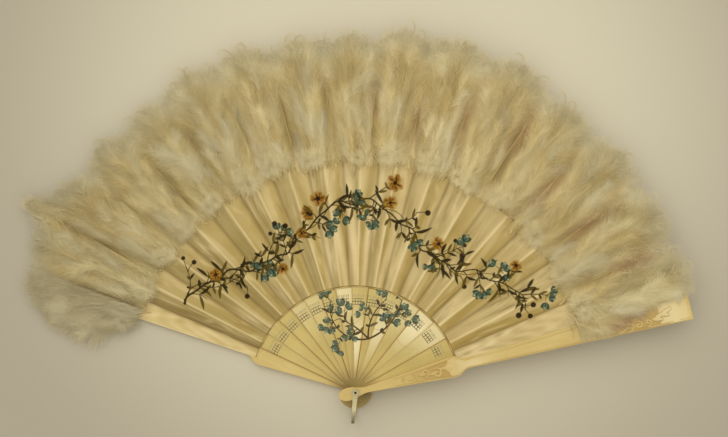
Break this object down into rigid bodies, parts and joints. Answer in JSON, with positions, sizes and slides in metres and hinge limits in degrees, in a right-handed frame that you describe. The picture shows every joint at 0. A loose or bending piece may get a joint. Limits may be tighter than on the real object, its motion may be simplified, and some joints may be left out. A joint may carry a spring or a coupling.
{
  "type": "folding fan",
  "caption": "Open folding fan: thin bone sticks and two guards on one rivet with a bail, a pleated painted silk leaf and a border of down plumes; it folds shut.",
  "frame": {"origin": "on the rivet's axis, at the flat foot of the rivet, in the plane that the open fan lies on", "axes": "+X to the right across the open fan, +Y from the rivet up the middle of the fan, +Z out of its painted face"},
  "size_m": [0.6516, 0.3816, 0.0293],
  "materials": {
    "guard_bone": "satin",
    "stick_bone": "satin",
    "silk": "satin",
    "down": "matte",
    "rivet_brass": "satin",
    "bail_brass": "satin"
  },
  "bodies": {
    "rear_guard": {"rear_guard": "guard_bone", "rivet": "rivet_brass", "leaf_pleat_00": "silk", "plume_00": "down"},
    "stick_01": {"stick_01": "stick_bone", "leaf_pleat_01": "silk", "plume_01": "down"},
    "stick_02": {"stick_02": "stick_bone", "leaf_pleat_02": "silk", "plume_02": "down"},
    "stick_03": {"stick_03": "stick_bone", "leaf_pleat_03": "silk", "plume_03": "down"},
    "stick_04": {"stick_04": "stick_bone", "leaf_pleat_04": "silk", "plume_04": "down"},
    "stick_05": {"stick_05": "stick_bone", "leaf_pleat_05": "silk", "plume_05": "down"},
    "stick_06": {"stick_06": "stick_bone", "leaf_pleat_06": "silk", "plume_06": "down"},
    "stick_07": {"stick_07": "stick_bone", "leaf_pleat_07": "silk", "plume_07": "down"},
    "stick_08": {"stick_08": "stick_bone", "leaf_pleat_08": "silk", "plume_08": "down"},
    "stick_09": {"stick_09": "stick_bone", "leaf_pleat_09": "silk", "plume_09": "down"},
    "stick_10": {"stick_10": "stick_bone", "leaf_pleat_10": "silk", "plume_10": "down"},
    "stick_11": {"stick_11": "stick_bone", "leaf_pleat_11": "silk", "plume_11": "down"},
    "stick_12": {"stick_12": "stick_bone", "leaf_pleat_12": "silk", "plume_12": "down"},
    "stick_13": {"stick_13": "stick_bone", "leaf_pleat_13": "silk", "plume_13": "down"},
    "stick_14": {"stick_14": "stick_bone", "leaf_pleat_14": "silk", "plume_14": "down"},
    "front_guard": {"front_guard": "guard_bone"},
    "bail": {"bail": "bail_brass"}
  },
  "joints": [
    {"name": "fold_01", "type": "hinge", "parent": "rear_guard", "child": "stick_01", "pos_m": [0, 0, 0], "axis": [0, 0, 1], "range_deg": [0, 9.1], "deforming": ["leaf_pleat_00", "plume_00"]},
    {"name": "fold_02", "type": "hinge", "parent": "stick_01", "child": "stick_02", "pos_m": [0, 0, 0], "axis": [0, 0, 1], "range_deg": [0, 9.1], "deforming": ["leaf_pleat_01", "plume_01"]},
    {"name": "fold_03", "type": "hinge", "parent": "stick_02", "child": "stick_03", "pos_m": [0, 0, 0], "axis": [0, 0, 1], "range_deg": [0, 9.1], "deforming": ["leaf_pleat_02", "plume_02"]},
    {"name": "fold_04", "type": "hinge", "parent": "stick_03", "child": "stick_04", "pos_m": [0, 0, 0], "axis": [0, 0, 1], "range_deg": [0, 9.1], "deforming": ["leaf_pleat_03", "plume_03"]},
    {"name": "fold_05", "type": "hinge", "parent": "stick_04", "child": "stick_05", "pos_m": [0, 0, 0], "axis": [0, 0, 1], "range_deg": [0, 9.1], "deforming": ["leaf_pleat_04", "plume_04"]},
    {"name": "fold_06", "type": "hinge", "parent": "stick_05", "child": "stick_06", "pos_m": [0, 0, 0], "axis": [0, 0, 1], "range_deg": [0, 9.1], "deforming": ["leaf_pleat_05", "plume_05"]},
    {"name": "fold_07", "type": "hinge", "parent": "stick_06", "child": "stick_07", "pos_m": [0, 0, 0], "axis": [0, 0, 1], "range_deg": [0, 9.1], "deforming": ["leaf_pleat_06", "plume_06"]},
    {"name": "fold_08", "type": "hinge", "parent": "stick_07", "child": "stick_08", "pos_m": [0, 0, 0], "axis": [0, 0, 1], "range_deg": [0, 9.1], "deforming": ["leaf_pleat_07", "plume_07"]},
    {"name": "fold_09", "type": "hinge", "parent": "stick_08", "child": "stick_09", "pos_m": [0, 0, 0], "axis": [0, 0, 1], "range_deg": [0, 9.1], "deforming": ["leaf_pleat_08", "plume_08"]},
    {"name": "fold_10", "type": "hinge", "parent": "stick_09", "child": "stick_10", "pos_m": [0, 0, 0], "axis": [0, 0, 1], "range_deg": [0, 9.1], "deforming": ["leaf_pleat_09", "plume_09"]},
    {"name": "fold_11", "type": "hinge", "parent": "stick_10", "child": "stick_11", "pos_m": [0, 0, 0], "axis": [0, 0, 1], "range_deg": [0, 10.72], "deforming": ["leaf_pleat_10", "plume_10"]},
    {"name": "fold_12", "type": "hinge", "parent": "stick_11", "child": "stick_12", "pos_m": [0, 0, 0], "axis": [0, 0, 1], "range_deg": [0, 10.72], "deforming": ["leaf_pleat_11", "plume_11"]},
    {"name": "fold_13", "type": "hinge", "parent": "stick_12", "child": "stick_13", "pos_m": [0, 0, 0], "axis": [0, 0, 1], "range_deg": [0, 10.72], "deforming": ["leaf_pleat_12", "plume_12"]},
    {"name": "fold_14", "type": "hinge", "parent": "stick_13", "child": "stick_14", "pos_m": [0, 0, 0], "axis": [0, 0, 1], "range_deg": [0, 10.72], "deforming": ["leaf_pleat_13", "plume_13"]},
    {"name": "fold_15", "type": "hinge", "parent": "stick_14", "child": "front_guard", "pos_m": [0, 0, 0], "axis": [0, 0, 1], "range_deg": [0, 10.72], "deforming": ["leaf_pleat_14", "plume_14"]},
    {"name": "bail_swing", "type": "hinge", "parent": "rear_guard", "child": "bail", "pos_m": [0, 0, 0.0137], "axis": [0, 0, 1], "range_deg": [-80, 80]}
  ],
  "couplings": [
    {"joint": "fold_02", "follows": "fold_01", "ratio": 1},
    {"joint": "fold_03", "follows": "fold_01", "ratio": 1},
    {"joint": "fold_04", "follows": "fold_01", "ratio": 1},
    {"joint": "fold_05", "follows": "fold_01", "ratio": 1},
    {"joint": "fold_06", "follows": "fold_01", "ratio": 1},
    {"joint": "fold_07", "follows": "fold_01", "ratio": 1},
    {"joint": "fold_08", "follows": "fold_01", "ratio": 1},
    {"joint": "fold_09", "follows": "fold_01", "ratio": 1},
    {"joint": "fold_10", "follows": "fold_01", "ratio": 1},
    {"joint": "fold_11", "follows": "fold_01", "ratio": 1.178},
    {"joint": "fold_12", "follows": "fold_01", "ratio": 1.178},
    {"joint": "fold_13", "follows": "fold_01", "ratio": 1.178},
    {"joint": "fold_14", "follows": "fold_01", "ratio": 1.178},
    {"joint": "fold_15", "follows": "fold_01", "ratio": 1.178}
  ]
}
